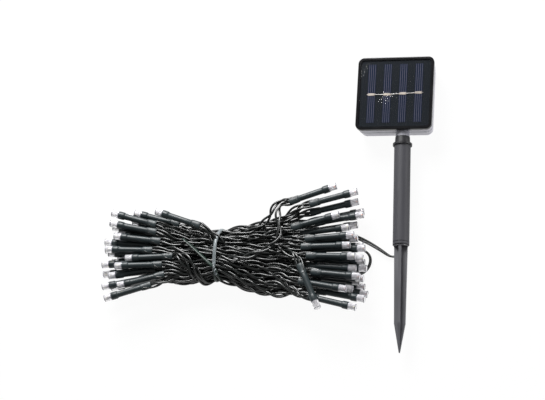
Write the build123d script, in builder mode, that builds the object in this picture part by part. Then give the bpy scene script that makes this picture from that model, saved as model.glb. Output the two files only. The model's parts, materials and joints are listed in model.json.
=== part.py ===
"""Solar string lights: a square solar head on a ground stake, its lead, and a hank of lamps.

Millimetres. The head lies on its back: its back face is z = 0, with the origin at its centre.
+Y is the top of the head and the stake leaves it towards -Y. The hank lies on the floor at -X.
"""
import os
from math import atan2, cos, degrees, pi, radians, sin, tan

from build123d import *

os.makedirs("parts", exist_ok=True)

# ---- Solar head -------------------------------------------------------------------------
HEAD = 68.0              # side of the square black face
HEAD_CORNER = 5.5
HEAD_DEPTH = 23.0
BACK = 64.0              # side of the back face, before the case widens towards the rim
SEAM_SIDE = 66.4         # side of the case at its seam
CASE_TOP_SIDE = 67.2
WALL = 2.0
FLOOR = 2.0
SEAM_Z = 11.5            # where the lower shell ends
GASKET = 0.8
COVER_Z = 19.5           # underside of the black cover
RIM = 2.7                # width of the cover's rim round the panel
LEDGE = 9.0              # width of the ledge that the panel lies on
PANEL_Z = 20.8
PANEL_THICK = 1.2
RECESS_GAP = 0.1         # clearance round a part that drops into a recess
CELL_WIDTH = 7.0
CELL_LENGTH = 55.0
CELL_PITCH = 14.0
CELL_THICK = 0.25
RIBBON_LENGTH = 50.6
RIBBON_WIDTH = 1.4
RIBBON_THICK = 0.12
TAB_LENGTH = 6.4
TAB_WIDTH = 2.3
TAB_THICK = 0.2
RESIN_THICK = 0.8

SCREW_AT = 26.0          # screws stand at plus and minus this in X and Y
BOSS_RADIUS = 3.4
BOSS_WEB = 6.0
SCREW_RADIUS = 1.3
SCREW_HEAD_RADIUS = 2.4
SCREW_HEAD = 1.6
SCREW_SUNK = 0.4         # the heads stand back from the back face
SCREW_TIP_Z = 17.0
SCREW_GAP = 0.05

# ---- Inside the head --------------------------------------------------------------------
BATTERY_RADIUS = 7.25    # AA size
BATTERY_LENGTH = 50.0
BATTERY_NUB = 1.0
BATTERY_NUB_RADIUS = 2.7
BATTERY_Y = 12.5
BATTERY_Z = 10.7
CONTACT_THICK = 0.5
CONTACT_SIDE = 10.0
SPRING_LENGTH = 4.0
SPRING_RADIUS = 2.8
SPRING_WIRE = 0.35
CRADLE = (59.2, 17.2, 8.0)
CRADLE_GAP = 0.25

PCB = (52.0, 19.0, 1.6)
PCB_Y = -8.0
PCB_Z = 6.4
PCB_POST_RADIUS = 2.0
PCB_POSTS = (23.0, 7.0)  # the posts stand at plus and minus these from the board's centre
BUTTON_X = 14.0
BUTTON_RADIUS = 3.5
BUTTON_GAP = 0.06
BUTTON_FLANGE_RADIUS = 4.4
BUTTON_BOTTOM_Z = 0.4    # the caps stand back from the back face
BUTTON_TOP_Z = 3.2
SWITCH = (6.0, 6.0, 2.5)
HOOKUP_RADIUS = 0.6
PANEL_LEADS_X = (-12.0, -9.0)
BATTERY_LEADS_X = 21.0

# ---- Stake ------------------------------------------------------------------------------
STAKE_X = 7.0            # where its axis crosses the head's bottom face
STAKE_Z = 13.0
STAKE_LEAN = 1.7         # degrees that it leans in the head's plane
SOCKET_RADIUS = 6.2
SOCKET_IN = 15.0         # depth of the socket inside the head
SOCKET_OUT = 4.2         # length of its rim outside
SOCKET_END = 1.2
SPIGOT_RADIUS = 4.9
SPIGOT_LENGTH = 13.0     # length of the spigot inside the head
SLIDE_GAP = 0.08
COLLAR_START = 4.3
COLLAR_LENGTH = 6.2
COLLAR_RADIUS = 6.8
COLLAR_TOP_RADIUS = 6.4
FLANGE_RADIUS = 8.5
FLANGE_THICK = 1.8
TUBE_START = COLLAR_START + COLLAR_LENGTH + FLANGE_THICK + 0.1
TUBE_LENGTH = 91.0
TUBE_RADIUS = 7.25
TUBE_BORE = 5.85
PLUG_LENGTH = 14.0
GROOVE_FROM_END = 2.6
GROOVE_WIDTH = 0.6
GROOVE_DEPTH = 0.4
SPIKE_START = TUBE_START + TUBE_LENGTH + 0.1
SPIKE_COLLAR = 1.5
SPIKE_RADIUS = 5.8
SPIKE_LOW_RADIUS = 4.85
SPIKE_STRAIGHT = 70.0
SPIKE_POINT = 25.5
SPIKE_TIP_RADIUS = 0.5
RIB = 2.4                # thickness of the spike's ribs

# ---- Lead and hank ----------------------------------------------------------------------
LEAD_DIAMETER = 3.0
RELIEF_RADIUS = 2.5
RELIEF_IN = 3.5
RELIEF_OUT = 4.5
# Hand-chosen route, from the strain relief, under the stake, to the right end of the hank
LEAD_ROUTE = [
    (4.0, -33.0, 4.4),
    (4.0, -40.0, 4.4),
    (4.6, -51.0, 1.6),
    (6.6, -73.0, 1.6),
    (9.2, -98.0, 1.6),
    (12.6, -125.0, 1.6),
    (12.6, -140.6, 1.6),
    (1.2, -146.0, 1.6),
    (-10.0, -138.0, 1.6),
    (-24.0, -129.5, 1.6),
    (-40.0, -123.0, 1.6),
    (-56.0, -127.0, 2.0),
    (-76.0, -136.0, 5.0),
    (-92.0, -140.0, 8.0),
]

TIE_X = -153.0           # where the twist tie holds the hank
HANK_BASE = 1.3
# Sections of the hank: X, centre Y, full width in Y, full height
HANK_SECTIONS = [
    (-205.0, -142.0, 64.0, 22.0),
    (-180.0, -145.0, 54.0, 25.0),
    (TIE_X, -146.5, 47.0, 27.0),
    (-122.0, -144.5, 60.0, 26.0),
    (-88.0, -143.0, 84.0, 22.0),
]
TIE_WIDTH = 3.0
TIE_THICK = 0.8
TIE_GAP = 0.3
TIE_TWIST_RADIUS = 1.1
TIE_TWIST = [(TIE_X, -156.0, 28.3), (-148.0, -163.0, 27.0), (-142.0, -168.0, 25.0)]

# ---- Lamps, each along its own +X with its wires at x = 0 ---------------------------------
TAIL_LENGTH = 9.3
TAIL_WIDTH = 6.4
TAIL_HEIGHT = 4.0
HOLDER_RADIUS = 2.65
HOLDER_LENGTH = 22.0
HOLDER_BORE = 2.0
HEAD_LENGTH = 5.7        # the wider end of the holder, round the lens
HEAD_RADIUS = 3.1
LENS_RADIUS = 2.9
LENS_LENGTH = 6.2
LENS_BASE_RADIUS = 2.45
LENS_BASE = 4.0
LENS_BORE = 1.5
LENS_BORE_DEPTH = 6.8
LENS_DISH = 0.9
LENS_GAP = 0.05
FRAME_LEG = 0.5
FRAME_SPREAD = 0.8
LAMP_END = TAIL_LENGTH + HOLDER_LENGTH + HEAD_LENGTH
LENS_CENTRE = LAMP_END + LENS_LENGTH / 2
LEVELS = [3.4, 9.8, 16.2, 22.6, 29.0]     # heights of the layers in which the lamps lie
HANK_Y = -146.0          # the lamps point away from the tie on this line
LEFT_FAN = 0.3           # how far each end of the hank spreads at the tie
RIGHT_FAN = 0.4
# Hand-placed lamps: layer, X and Y of the lens, and extra turn in degrees
LEFT_LAMPS = [
    (4, -204.5, -111, 7),
    (3, -247, -110, 0), (3, -247, -119.5, 0), (3, -243, -131, 0), (3, -250, -143, 0),
    (3, -231, -151, 0), (3, -240, -158, -4), (3, -236, -175.5, 0), (3, -247, -187, 0),
    (2, -228, -108, 5), (2, -250, -117, 0), (2, -241, -127, 0), (2, -253, -134.5, 0),
    (2, -249, -144.8, 0), (2, -254, -155, 0), (2, -247, -165, 0), (2, -252, -175, 0),
    (1, -238, -109, 0), (1, -249, -119, 0), (1, -244, -130, 0), (1, -254, -140, 0),
    (1, -247, -151, 0), (1, -254, -162, 0), (1, -246, -173, 0),
    (0, -233, -112, 0), (0, -246, -123, 0), (0, -250, -134, 0), (0, -244, -146, 0),
    (0, -250, -161, 0), (0, -248, -172, 0),
]
RIGHT_LAMPS = [
    (4, -58, -195, -48),
    (3, -51, -87, 0), (3, -32, -92, 0), (3, -47, -113, 5), (3, -33, -131, 0),
    (3, -36, -140, 0), (3, -31, -150, 0), (3, -26, -168, 0), (3, -37, -179, 0),
    (3, -28, -195, 0),
    (2, -32, -99, 0), (2, -27, -111, 0), (2, -39, -122, 0), (2, -31, -132, 0),
    (2, -24, -141, 0), (2, -25, -150, 0), (2, -31, -159, 0), (2, -24, -168, 0),
    (2, -33, -177, 0), (2, -22, -186, 0),
    (1, -28, -106, 0), (1, -33, -118, 0), (1, -27, -137, 0), (1, -23, -157, 0),
    (1, -28, -169, 0), (1, -21, -180, 0),
    (0, -34, -107, 0), (0, -26, -150, 0), (0, -30, -159, 0), (0, -25, -172, 0),
]


def save(part, label):
    """Label a finished piece and write its STEP file."""
    part.label = label
    export_step(part, f"parts/{label}.step")


def cord_line(points):
    """Straight runs joined by tangent arcs, built into the active line, with the bends printed."""
    radii = []
    for before, corner, after in zip(points, points[1:], points[2:]):
        arriving = Vector(*corner) - Vector(*before)
        leaving = Vector(*after) - Vector(*corner)
        turn = radians(arriving.get_angle(leaving))
        radii.append(0.45 * min(arriving.length, leaving.length) / tan(turn / 2))
    line = FilletPolyline(*points, radius=radii)
    print("bend radii", [round(radius, 1) for radius in radii], "length", round(line.length, 1))
    return line


def lamp_place(row, fan):
    """Where one lamp of the hank lies: its own origin and +X in the hank."""
    level, lens_x, lens_y, extra_turn = row
    aim_y = HANK_Y + fan * (lens_y - HANK_Y)
    heading = atan2(lens_y - aim_y, lens_x - TIE_X) + radians(extra_turn)
    tail_x = lens_x - LENS_CENTRE * cos(heading)
    tail_y = lens_y - LENS_CENTRE * sin(heading)
    return Location((tail_x, tail_y, LEVELS[level]), (0, 0, degrees(heading)))


# The stake's own plane: its origin is where the axis leaves the head, and its Z runs down the stake
lean = radians(STAKE_LEAN)
stake = Plane(
    origin=(STAKE_X, -HEAD / 2, STAKE_Z),
    x_dir=(cos(lean), sin(lean), 0),
    z_dir=(sin(lean), -cos(lean), 0),
)
lead_exit = Plane(origin=(4.0, -HEAD / 2, 4.4), x_dir=(1, 0, 0), z_dir=(0, -1, 0))
corners = [(x, y) for x in (-SCREW_AT, SCREW_AT) for y in (-SCREW_AT, SCREW_AT)]
buttons = {"power": -BUTTON_X, "mode": BUTTON_X}
socket_start = -SOCKET_IN - SLIDE_GAP
relief_start = -RELIEF_IN - SLIDE_GAP

# ---- Case -------------------------------------------------------------------------------
with BuildPart() as lower_shell:
    with BuildSketch(Plane.XY):
        RectangleRounded(BACK, BACK, HEAD_CORNER)
    with BuildSketch(Plane.XY.offset(SEAM_Z)):
        RectangleRounded(SEAM_SIDE, SEAM_SIDE, HEAD_CORNER)
    loft()
    fillet(lower_shell.edges().group_by(Axis.Z)[0], 1.2)
    with BuildSketch(Plane.XY.offset(FLOOR)):
        RectangleRounded(BACK - 2 * WALL, BACK - 2 * WALL, HEAD_CORNER - WALL)
    extrude(amount=SEAM_Z, mode=Mode.SUBTRACT)
    with BuildSketch(Plane.XY.offset(FLOOR)):
        with Locations(*corners):
            Circle(BOSS_RADIUS)
    extrude(amount=SEAM_Z - FLOOR)
    with BuildSketch(Plane.XY.offset(FLOOR)):
        with Locations((0, PCB_Y)):
            with GridLocations(2 * PCB_POSTS[0], 2 * PCB_POSTS[1], 2, 2):
                Circle(PCB_POST_RADIUS)
    extrude(amount=PCB_Z - FLOOR)
    with BuildSketch(Plane.XY):
        with Locations(*corners):
            Circle(SCREW_RADIUS + SCREW_GAP)
        with Locations(*[(x, PCB_Y) for x in buttons.values()]):
            Circle(BUTTON_RADIUS + BUTTON_GAP)
    extrude(amount=SEAM_Z, mode=Mode.SUBTRACT)
    with BuildSketch(Plane.XY):
        with Locations(*corners):
            Circle(SCREW_HEAD_RADIUS + RECESS_GAP)
    extrude(amount=SCREW_SUNK + SCREW_HEAD, mode=Mode.SUBTRACT)
    with BuildSketch(stake.offset(socket_start)):
        Circle(SOCKET_RADIUS + SLIDE_GAP)
    extrude(amount=SOCKET_IN + SOCKET_OUT, mode=Mode.SUBTRACT)
    with BuildSketch(lead_exit.offset(relief_start)):
        Circle(RELIEF_RADIUS + SLIDE_GAP)
    extrude(amount=RELIEF_IN + RELIEF_OUT, mode=Mode.SUBTRACT)
save(lower_shell.part, "lower_shell")

with BuildPart() as case_gasket:
    with BuildSketch(Plane.XY.offset(SEAM_Z)):
        RectangleRounded(SEAM_SIDE - 0.6, SEAM_SIDE - 0.6, HEAD_CORNER - 0.3)
        RectangleRounded(SEAM_SIDE - 3, SEAM_SIDE - 3, HEAD_CORNER - 1.5, mode=Mode.SUBTRACT)
    extrude(amount=GASKET)
    with BuildSketch(stake.offset(socket_start)):
        Circle(SOCKET_RADIUS + SLIDE_GAP)
    extrude(amount=SOCKET_IN + SOCKET_OUT, mode=Mode.SUBTRACT)
save(case_gasket.part, "case_gasket")

with BuildPart() as upper_shell:
    with BuildSketch(Plane.XY.offset(SEAM_Z + GASKET)):
        RectangleRounded(SEAM_SIDE, SEAM_SIDE, HEAD_CORNER)
    with BuildSketch(Plane.XY.offset(COVER_Z)):
        RectangleRounded(CASE_TOP_SIDE, CASE_TOP_SIDE, HEAD_CORNER)
    loft()
    with BuildSketch(Plane.XY.offset(SEAM_Z)):
        RectangleRounded(SEAM_SIDE - 2 * WALL, SEAM_SIDE - 2 * WALL, HEAD_CORNER - WALL)
    extrude(amount=COVER_Z, mode=Mode.SUBTRACT)
    with BuildSketch(Plane.XY.offset(SEAM_Z + GASKET)):
        with GridLocations(2 * SCREW_AT + 5, 2 * SCREW_AT + 5, 2, 2):
            Rectangle(BOSS_WEB, BOSS_WEB)
        with Locations(*corners):
            Circle(BOSS_RADIUS)
    extrude(amount=COVER_Z - SEAM_Z - GASKET)
    with BuildSketch(Plane.XY.offset(SEAM_Z)):
        with Locations(*corners):
            Circle(SCREW_RADIUS + SCREW_GAP)
    extrude(amount=SCREW_TIP_Z - SEAM_Z + 0.5, mode=Mode.SUBTRACT)
    with BuildSketch(stake.offset(socket_start)):
        Circle(SOCKET_RADIUS + SLIDE_GAP)
    extrude(amount=SOCKET_IN + SOCKET_OUT, mode=Mode.SUBTRACT)
save(upper_shell.part, "upper_shell")

for number, place in enumerate(corners, start=1):
    with BuildPart() as case_screw:
        with BuildSketch(Plane.XY.offset(SCREW_SUNK)):
            with Locations(place):
                Circle(SCREW_HEAD_RADIUS)
        extrude(amount=SCREW_HEAD)
        with BuildSketch(Plane.XY.offset(SCREW_SUNK)):
            with Locations(place):
                Circle(SCREW_RADIUS)
        extrude(amount=SCREW_TIP_Z - SCREW_SUNK)
        with BuildSketch(Plane.XY.offset(SCREW_SUNK)):
            with Locations(place):
                Rectangle(2.8, 0.7)
                Rectangle(0.7, 2.8)
        extrude(amount=SCREW_HEAD / 2, mode=Mode.SUBTRACT)
    save(case_screw.part, f"case_screw_{number}")

# ---- Cover and panel --------------------------------------------------------------------
panel_side = HEAD - 2 * RIM
with BuildPart() as top_cover:
    with BuildSketch(Plane.XY.offset(COVER_Z)):
        RectangleRounded(HEAD, HEAD, HEAD_CORNER)
    extrude(amount=HEAD_DEPTH - COVER_Z)
    fillet(top_cover.edges().group_by(Axis.Z)[-1], 0.7)
    with BuildSketch(Plane.XY.offset(PANEL_Z)):
        RectangleRounded(panel_side, panel_side, HEAD_CORNER - RIM)
    extrude(amount=HEAD_DEPTH, mode=Mode.SUBTRACT)
    with BuildSketch(Plane.XY.offset(COVER_Z)):
        Rectangle(panel_side - 2 * LEDGE, panel_side - 2 * LEDGE)
    extrude(amount=HEAD_DEPTH, mode=Mode.SUBTRACT)
save(top_cover.part, "top_cover")

board_side = panel_side - 2 * RECESS_GAP
board_corner = HEAD_CORNER - RIM - RECESS_GAP
with BuildPart() as panel_board:
    with BuildSketch(Plane.XY.offset(PANEL_Z)):
        RectangleRounded(board_side, board_side, board_corner)
    extrude(amount=PANEL_THICK)
save(panel_board.part, "panel_board")

cell_z = PANEL_Z + PANEL_THICK
cell_places = [CELL_PITCH * (index - 1.5) for index in range(4)]
with BuildPart() as panel_resin:
    with BuildSketch(Plane.XY.offset(cell_z)):
        RectangleRounded(board_side, board_side, board_corner)
    extrude(amount=RESIN_THICK)
    with BuildSketch(Plane.XY.offset(cell_z)):
        with Locations(*[(x, 0) for x in cell_places]):
            Rectangle(CELL_WIDTH, CELL_LENGTH)
    extrude(amount=CELL_THICK, mode=Mode.SUBTRACT)
    with BuildSketch(Plane.XY.offset(cell_z)):
        Rectangle(RIBBON_LENGTH, RIBBON_WIDTH)
    extrude(amount=CELL_THICK + RIBBON_THICK, mode=Mode.SUBTRACT)
    with BuildSketch(Plane.XY.offset(cell_z)):
        with Locations(*[(x, 0) for x in cell_places]):
            Rectangle(TAB_LENGTH, TAB_WIDTH)
    extrude(amount=CELL_THICK + RIBBON_THICK + TAB_THICK, mode=Mode.SUBTRACT)
save(panel_resin.part, "panel_resin")

for number, x in enumerate(cell_places, start=1):
    with BuildPart() as solar_cell:
        with BuildSketch(Plane.XY.offset(cell_z)):
            with Locations((x, 0)):
                Rectangle(CELL_WIDTH, CELL_LENGTH)
        extrude(amount=CELL_THICK)
    save(solar_cell.part, f"solar_cell_{number}")

with BuildPart() as cell_ribbon:
    with BuildSketch(Plane.XY.offset(cell_z + CELL_THICK)):
        Rectangle(RIBBON_LENGTH, RIBBON_WIDTH)
    extrude(amount=RIBBON_THICK)
save(cell_ribbon.part, "cell_ribbon")

with BuildPart() as solder_tabs:
    with BuildSketch(Plane.XY.offset(cell_z + CELL_THICK + RIBBON_THICK)):
        with Locations(*[(x, 0) for x in cell_places]):
            Rectangle(TAB_LENGTH, TAB_WIDTH)
    extrude(amount=TAB_THICK)
save(solder_tabs.part, "solder_tabs")

# ---- Battery ----------------------------------------------------------------------------
battery_axis = Plane(origin=(0, BATTERY_Y, BATTERY_Z), x_dir=(0, 1, 0), z_dir=(1, 0, 0))
half_battery = BATTERY_LENGTH / 2
with BuildPart() as battery_cell:
    with BuildSketch(battery_axis.offset(-half_battery)):
        Circle(BATTERY_RADIUS)
    extrude(amount=BATTERY_LENGTH)
    with BuildSketch(battery_axis.offset(half_battery)):
        Circle(BATTERY_NUB_RADIUS)
    extrude(amount=BATTERY_NUB)
save(battery_cell.part, "battery_cell")

spring_start = -half_battery - SPRING_LENGTH
contact_start = half_battery + BATTERY_NUB
with BuildPart() as battery_cradle:
    with BuildSketch(Plane.XY.offset(FLOOR)):
        with Locations((0, BATTERY_Y)):
            Rectangle(CRADLE[0], CRADLE[1])
    extrude(amount=CRADLE[2])
    with BuildSketch(battery_axis.offset(spring_start - CONTACT_THICK)):
        Circle(BATTERY_RADIUS + CRADLE_GAP)
    extrude(amount=contact_start - spring_start + 2 * CONTACT_THICK, mode=Mode.SUBTRACT)
save(battery_cradle.part, "battery_cradle")

with BuildPart() as battery_contact:
    with BuildSketch(battery_axis.offset(contact_start)):
        Rectangle(CONTACT_SIDE, CONTACT_SIDE)
    extrude(amount=CONTACT_THICK)
save(battery_contact.part, "battery_contact")

with BuildPart() as battery_spring:
    with BuildSketch(battery_axis.offset(spring_start - CONTACT_THICK)):
        Rectangle(CONTACT_SIDE, CONTACT_SIDE)
    extrude(amount=CONTACT_THICK)
    for turn in range(4):
        with BuildSketch(battery_axis.offset(spring_start + turn * SPRING_LENGTH / 4)):
            Circle(SPRING_RADIUS - turn * SPRING_WIRE)
            Circle(SPRING_RADIUS - (turn + 2) * SPRING_WIRE, mode=Mode.SUBTRACT)
        extrude(amount=SPRING_LENGTH / 4)
save(battery_spring.part, "battery_spring")

# ---- Circuit board ----------------------------------------------------------------------
board_top = PCB_Z + PCB[2]
with BuildPart() as circuit_board:
    with BuildSketch(Plane.XY.offset(PCB_Z)):
        with Locations((0, PCB_Y)):
            Rectangle(PCB[0], PCB[1])
    extrude(amount=PCB[2])
save(circuit_board.part, "circuit_board")

with BuildPart() as control_chip:
    with BuildSketch(Plane.XY.offset(board_top)):
        with Locations((-3, PCB_Y - 1)):
            Rectangle(6.2, 5.0)
    extrude(amount=1.6)
save(control_chip.part, "control_chip")

with BuildPart() as boost_inductor:
    with BuildSketch(Plane.XY.offset(board_top)):
        with Locations((8, PCB_Y)):
            Circle(3.2)
    extrude(amount=4.5)
    with BuildSketch(Plane.XY.offset(board_top + 1)):
        with Locations((8, PCB_Y)):
            Circle(3.3)
            Circle(2.4, mode=Mode.SUBTRACT)
    extrude(amount=2.5, mode=Mode.SUBTRACT)
save(boost_inductor.part, "boost_inductor")

with BuildPart() as board_components:
    with BuildSketch(Plane.XY.offset(board_top)):
        with Locations((-18, PCB_Y - 4), (-18, PCB_Y), (-18, PCB_Y + 4), (15, PCB_Y - 5), (19, PCB_Y)):
            Rectangle(3.2, 1.8)
    extrude(amount=1.1)
    with BuildSketch(Plane.XY.offset(board_top)):
        with Locations((-10.5, PCB_Y + 2)):
            Circle(2.0)
    extrude(amount=5.0)
save(board_components.part, "board_components")

for name, x in buttons.items():
    with BuildPart() as switch:
        with BuildSketch(Plane.XY.offset(PCB_Z - SWITCH[2] + 0.8)):
            with Locations((x, PCB_Y)):
                Rectangle(SWITCH[0], SWITCH[1])
        extrude(amount=SWITCH[2] - 0.8)
        with BuildSketch(Plane.XY.offset(PCB_Z - SWITCH[2])):
            with Locations((x, PCB_Y)):
                Circle(1.7)
        extrude(amount=1.0)
    save(switch.part, f"{name}_switch")

    with BuildPart() as button:
        with BuildSketch(Plane.XY.offset(BUTTON_BOTTOM_Z)):
            with Locations((x, PCB_Y)):
                Circle(BUTTON_RADIUS)
        extrude(amount=BUTTON_TOP_Z - BUTTON_BOTTOM_Z)
        chamfer(button.edges().group_by(Axis.Z)[0], 0.3)
        with BuildSketch(Plane.XY.offset(FLOOR + 0.05)):
            with Locations((x, PCB_Y)):
                Circle(BUTTON_FLANGE_RADIUS)
        extrude(amount=0.8)
    save(button.part, f"{name}_button")

with BuildPart() as panel_wires:
    for x in PANEL_LEADS_X:
        with BuildLine():
            FilletPolyline((x, -2, board_top), (x, -2, 13), (x, 3, PANEL_Z - 2), (x, 3, PANEL_Z), radius=1.5)
        with BuildSketch(Plane.XY.offset(board_top)):
            with Locations((x, -2)):
                Circle(HOOKUP_RADIUS)
        sweep()
save(panel_wires.part, "panel_wires")

with BuildPart() as battery_wires:
    for side, end_x in ((1, contact_start), (-1, spring_start - CONTACT_THICK)):
        start = (side * BATTERY_LEADS_X, -2, board_top)
        plate_x = end_x + CONTACT_THICK / 2
        plate_z = BATTERY_Z + CONTACT_SIDE / 2 + HOOKUP_RADIUS + 0.05
        with BuildLine():
            FilletPolyline(
                start,
                (start[0], -2, 14),
                (plate_x, 5, plate_z),
                (plate_x, BATTERY_Y, plate_z),
                radius=1.5,
            )
        with BuildSketch(Plane.XY.offset(board_top)):
            with Locations((start[0], -2)):
                Circle(HOOKUP_RADIUS)
        sweep()
save(battery_wires.part, "battery_wires")

# ---- Socket and stake -------------------------------------------------------------------
with BuildPart() as stake_socket:
    with BuildSketch(stake.offset(-SOCKET_IN)):
        Circle(SOCKET_RADIUS)
    extrude(amount=SOCKET_IN + SOCKET_OUT)
    with BuildSketch(stake.offset(-SOCKET_IN + SOCKET_END)):
        Circle(SPIGOT_RADIUS + SLIDE_GAP)
    extrude(amount=SOCKET_IN + SOCKET_OUT, mode=Mode.SUBTRACT)
save(stake_socket.part, "stake_socket")

with BuildPart() as stake_collar:
    with BuildSketch(stake.offset(-SPIGOT_LENGTH)):
        Circle(SPIGOT_RADIUS)
    extrude(amount=SPIGOT_LENGTH + COLLAR_START)
    with BuildSketch(stake.offset(COLLAR_START)):
        Circle(COLLAR_TOP_RADIUS)
    with BuildSketch(stake.offset(COLLAR_START + COLLAR_LENGTH)):
        Circle(COLLAR_RADIUS)
    loft()
    with BuildSketch(stake.offset(COLLAR_START + COLLAR_LENGTH)):
        Circle(FLANGE_RADIUS)
    extrude(amount=FLANGE_THICK)
    with BuildSketch(stake.offset(COLLAR_START + COLLAR_LENGTH + FLANGE_THICK)):
        Circle(TUBE_BORE - SLIDE_GAP)
    extrude(amount=PLUG_LENGTH)
save(stake_collar.part, "stake_collar")

with BuildPart() as stake_tube:
    with BuildSketch(stake.offset(TUBE_START)):
        Circle(TUBE_RADIUS)
        Circle(TUBE_BORE, mode=Mode.SUBTRACT)
    extrude(amount=TUBE_LENGTH)
    with BuildSketch(stake.offset(TUBE_START + TUBE_LENGTH - GROOVE_FROM_END)):
        Circle(TUBE_RADIUS + 1)
        Circle(TUBE_RADIUS - GROOVE_DEPTH, mode=Mode.SUBTRACT)
    extrude(amount=GROOVE_WIDTH, mode=Mode.SUBTRACT)
save(stake_tube.part, "stake_tube")

with BuildPart() as ground_spike:
    with BuildSketch(stake.offset(SPIKE_START - PLUG_LENGTH)):
        Circle(TUBE_BORE - SLIDE_GAP)
    extrude(amount=PLUG_LENGTH)
    with BuildSketch(stake.offset(SPIKE_START)):
        Circle(SPIKE_RADIUS + 0.4)
    extrude(amount=SPIKE_COLLAR)
    for turn in (0, 90):
        with BuildSketch(stake.offset(SPIKE_START)):
            Rectangle(2 * SPIKE_RADIUS, RIB, rotation=turn)
        with BuildSketch(stake.offset(SPIKE_START + SPIKE_STRAIGHT)):
            Rectangle(2 * SPIKE_LOW_RADIUS, RIB, rotation=turn)
        loft()
        with BuildSketch(stake.offset(SPIKE_START + SPIKE_STRAIGHT)):
            Rectangle(2 * SPIKE_LOW_RADIUS, RIB, rotation=turn)
        with BuildSketch(stake.offset(SPIKE_START + SPIKE_STRAIGHT + SPIKE_POINT)):
            Rectangle(2 * SPIKE_TIP_RADIUS, 2 * SPIKE_TIP_RADIUS, rotation=turn)
        loft()
save(ground_spike.part, "ground_spike")

# ---- Lead -------------------------------------------------------------------------------
with BuildPart() as strain_relief:
    with BuildSketch(lead_exit.offset(-RELIEF_IN)):
        Circle(RELIEF_RADIUS)
        Circle(LEAD_DIAMETER / 2 + SLIDE_GAP, mode=Mode.SUBTRACT)
    extrude(amount=RELIEF_IN + RELIEF_OUT)
save(strain_relief.part, "strain_relief")

with BuildPart() as lead_cable:
    with BuildLine():
        lead_line = cord_line(LEAD_ROUTE)
    with BuildSketch(Plane(origin=LEAD_ROUTE[0], x_dir=(1, 0, 0), z_dir=(0, -1, 0))):
        Circle(LEAD_DIAMETER / 2)
    sweep()
lead_volume = pi * (LEAD_DIAMETER / 2) ** 2 * lead_line.length
print("lead volume", round(lead_cable.part.volume), "section x length", round(lead_volume))
save(lead_cable.part, "lead_cable")

# ---- Hank and twist tie -----------------------------------------------------------------
with BuildPart() as light_string_hank:
    for x, centre_y, width, height in HANK_SECTIONS:
        across = Plane(origin=(x, centre_y, HANK_BASE + height / 2), x_dir=(0, 1, 0), z_dir=(1, 0, 0))
        with BuildSketch(across):
            Ellipse(width / 2, height / 2)
    loft()
save(light_string_hank.part, "light_string_hank")

tie_row = [row for row in HANK_SECTIONS if row[0] == TIE_X][0]
with BuildPart() as twist_tie:
    tie_plane = Plane(
        origin=(TIE_X - TIE_WIDTH / 2, tie_row[1], HANK_BASE + tie_row[3] / 2),
        x_dir=(0, 1, 0),
        z_dir=(1, 0, 0),
    )
    inner = (tie_row[2] / 2 + TIE_GAP, tie_row[3] / 2 + TIE_GAP)
    with BuildSketch(tie_plane):
        Ellipse(inner[0] + TIE_THICK, inner[1] + TIE_THICK)
        Ellipse(*inner, mode=Mode.SUBTRACT)
    extrude(amount=TIE_WIDTH)
    with BuildLine():
        Polyline(*TIE_TWIST)
    with BuildSketch(Plane(origin=TIE_TWIST[0], z_dir=Vector(*TIE_TWIST[1]) - Vector(*TIE_TWIST[0]))):
        Circle(TIE_TWIST_RADIUS)
    sweep(transition=Transition.ROUND)
save(twist_tie.part, "twist_tie")

# ---- Lamps ------------------------------------------------------------------------------
along_lamp = Plane.YZ    # sketches on it are sections across a lamp
with BuildPart(mode=Mode.PRIVATE) as lamp_tail:
    with BuildSketch(along_lamp):
        SlotOverall(TAIL_WIDTH, TAIL_HEIGHT)
    extrude(amount=TAIL_LENGTH * 0.7)
    with BuildSketch(along_lamp.offset(TAIL_LENGTH * 0.7)):
        SlotOverall(TAIL_WIDTH, TAIL_HEIGHT)
    with BuildSketch(along_lamp.offset(TAIL_LENGTH)):
        SlotOverall(2 * HOLDER_RADIUS, 2 * HOLDER_RADIUS - 0.4)
    loft()

with BuildPart(mode=Mode.PRIVATE) as lamp_holder:
    with BuildSketch(Plane.XY):
        with BuildLine():
            Polyline(
                (TAIL_LENGTH, HOLDER_BORE),
                (TAIL_LENGTH, HOLDER_RADIUS),
                (TAIL_LENGTH + HOLDER_LENGTH, HOLDER_RADIUS),
                (TAIL_LENGTH + HOLDER_LENGTH + 0.5, HEAD_RADIUS),
                (LAMP_END, HEAD_RADIUS),
                (LAMP_END, LENS_BASE_RADIUS + LENS_GAP),
                (LAMP_END - LENS_BASE, LENS_BASE_RADIUS + LENS_GAP),
                (LAMP_END - LENS_BASE, HOLDER_BORE),
                close=True,
            )
        make_face()
    revolve(axis=Axis.X)

with BuildPart(mode=Mode.PRIVATE) as led_lens:
    with BuildSketch(Plane.XY):
        with BuildLine():
            Polyline(
                (LAMP_END - LENS_BASE + LENS_BORE_DEPTH, 0),
                (LAMP_END - LENS_BASE + LENS_BORE_DEPTH, LENS_BORE),
                (LAMP_END - LENS_BASE, LENS_BORE),
                (LAMP_END - LENS_BASE, LENS_BASE_RADIUS),
                (LAMP_END, LENS_BASE_RADIUS),
                (LAMP_END, LENS_RADIUS),
                (LAMP_END + LENS_LENGTH, LENS_RADIUS),
                (LAMP_END + LENS_LENGTH, LENS_RADIUS - 0.5),
                (LAMP_END + LENS_LENGTH - LENS_DISH, 0),
                close=True,
            )
        make_face()
    revolve(axis=Axis.X)

with BuildPart(mode=Mode.PRIVATE) as led_frame:
    with BuildSketch(along_lamp.offset(TAIL_LENGTH + 2)):
        with Locations((-FRAME_SPREAD, 0), (FRAME_SPREAD, 0)):
            Rectangle(FRAME_LEG, FRAME_LEG)
    extrude(amount=LAMP_END - TAIL_LENGTH)
    with BuildSketch(along_lamp.offset(LAMP_END + 1)):
        Circle(LENS_BORE - 0.1)
    extrude(amount=1.2)

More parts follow.
